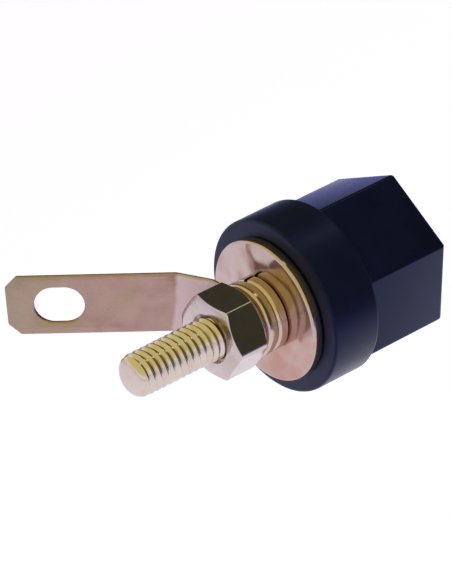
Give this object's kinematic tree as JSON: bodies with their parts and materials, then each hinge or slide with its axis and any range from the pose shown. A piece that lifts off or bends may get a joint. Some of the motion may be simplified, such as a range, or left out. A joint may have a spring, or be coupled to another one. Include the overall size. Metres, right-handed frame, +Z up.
{
  "type": "binding post",
  "caption": "Panel-mounting binding post with a hexagonal screw-down knob, plug socket, cross wire hole, threaded rear stud, nut and bent slotted solder lug.",
  "frame": {"origin": "centre of the collar's panel face, on the post's axis", "axes": "+Y along the rear stud, behind the panel; -Y towards the user, through the knob; +Z up"},
  "size_m": [0.0254, 0.0298, 0.016],
  "materials": {
    "post_brass": "plated, bright",
    "collar_plastic": "satin black",
    "knob_plastic": "satin black",
    "bush_brass": "turned",
    "washer_plate": "plated, bright",
    "spring_plate": "plated, bright",
    "small_washer_plate": "plated, bright",
    "lug_plate": "plated, warm tint",
    "nut_plate": "plated, bright"
  },
  "bodies": {
    "base": {"post": "post_brass", "collar": "collar_plastic", "large_washer": "washer_plate", "spring_washer": "spring_plate", "plain_washer": "small_washer_plate", "solder_lug": "lug_plate", "nut": "nut_plate"},
    "bush": {"knob_bush": "bush_brass"},
    "grip": {"knob": "knob_plastic"}
  },
  "joints": [
    {"name": "knob_travel", "type": "slide", "parent": "base", "child": "bush", "axis": [0, -1, 0], "range_m": [0, 0.004]},
    {"name": "knob_turn", "type": "hinge", "parent": "bush", "child": "grip", "pos_m": [0, -0.0094, 0], "axis": [0, -1, 0], "range_deg": [0, 1440]}
  ],
  "couplings": [
    {"joint": "knob_turn", "follows": "knob_travel", "rad_per_m": 6283.2}
  ]
}
